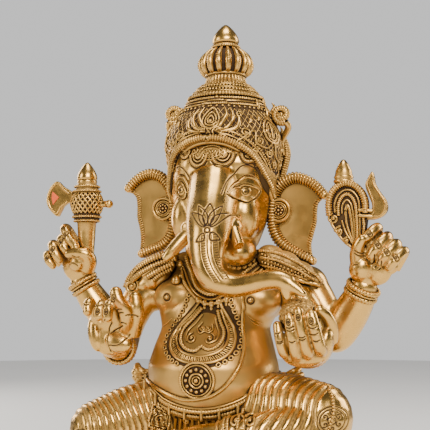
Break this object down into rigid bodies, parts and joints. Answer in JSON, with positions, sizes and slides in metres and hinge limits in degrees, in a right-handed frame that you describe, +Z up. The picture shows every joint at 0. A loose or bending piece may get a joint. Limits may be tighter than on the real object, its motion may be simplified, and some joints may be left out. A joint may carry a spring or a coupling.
{
  "type": "ganesha idol",
  "caption": "Seated four-armed elephant-headed deity figure in polished brass with crown, axe, noose and sweet, on an oval lotus seat.",
  "frame": {"origin": "centre of the plinth's underside, in the plane it rests on", "axes": "+Z up, the figure faces -Y, the figure's left is +X"},
  "size_m": [0.3684, 0.206, 0.5],
  "materials": {
    "body_brass": "hand-polished cast brass with dark patina in the recesses",
    "ornament_brass": "engraved and chased brass, relief tops polished, grounds dark",
    "garment_brass": "polished pleats with dark valleys",
    "sweet_brass": "stippled, semi-matt brass",
    "base_brass": "cast and machined brass, satin",
    "tinted_brass": "polished brass with a reddish lacquer field",
    "fastener_steel": "zinc plated"
  },
  "bodies": {
    "root": {"anklets": "ornament_brass", "axe_blade": "tinted_brass", "axe_finial": "ornament_brass", "axe_handle": "ornament_brass", "axe_knob": "ornament_brass", "base_bolts": "fastener_steel", "belly_medallion": "ornament_brass", "belt": "ornament_brass", "chest_plate": "ornament_brass", "crown_bud": "ornament_brass", "crown_cap": "ornament_brass", "crown_crest": "ornament_brass", "crown_dome": "ornament_brass", "crown_dome_ring": "ornament_brass", "crown_lower_ring": "ornament_brass", "crown_middle_ring": "ornament_brass", "crown_neck": "ornament_brass", "crown_rim": "ornament_brass", "earrings": "ornament_brass", "figure_bolts": "fastener_steel", "footrest_lotus": "base_brass", "forehead_ornament": "ornament_brass", "front_sash": "ornament_brass", "goad_hook": "ornament_brass", "head": "body_brass", "hip_knots": "ornament_brass", "left_crown_ribbon": "ornament_brass", "left_ear": "body_brass", "left_foot": "body_brass", "left_leg": "garment_brass", "left_shoulder_sash": "ornament_brass", "left_tusk": "body_brass", "lotus_seat": "base_brass", "lower_left_arm": "body_brass", "lower_left_bracelet": "ornament_brass", "lower_left_hand": "body_brass", "lower_right_arm": "body_brass", "lower_right_bracelet": "ornament_brass", "lower_right_hand": "body_brass", "necklace": "ornament_brass", "noose": "ornament_brass", "noose_finial": "ornament_brass", "plinth": "base_brass", "right_crown_ribbon": "ornament_brass", "right_ear": "body_brass", "right_foot": "body_brass", "right_leg": "garment_brass", "right_shoulder_sash": "ornament_brass", "right_tusk": "body_brass", "sacred_thread": "ornament_brass", "seat_slab": "base_brass", "sweet": "sweet_brass", "torso": "body_brass", "trunk": "body_brass", "upper_left_arm": "body_brass", "upper_left_bracelet": "ornament_brass", "upper_left_hand": "body_brass", "upper_right_arm": "body_brass", "upper_right_bracelet": "ornament_brass", "upper_right_hand": "body_brass"}
  },
  "joints": []
}
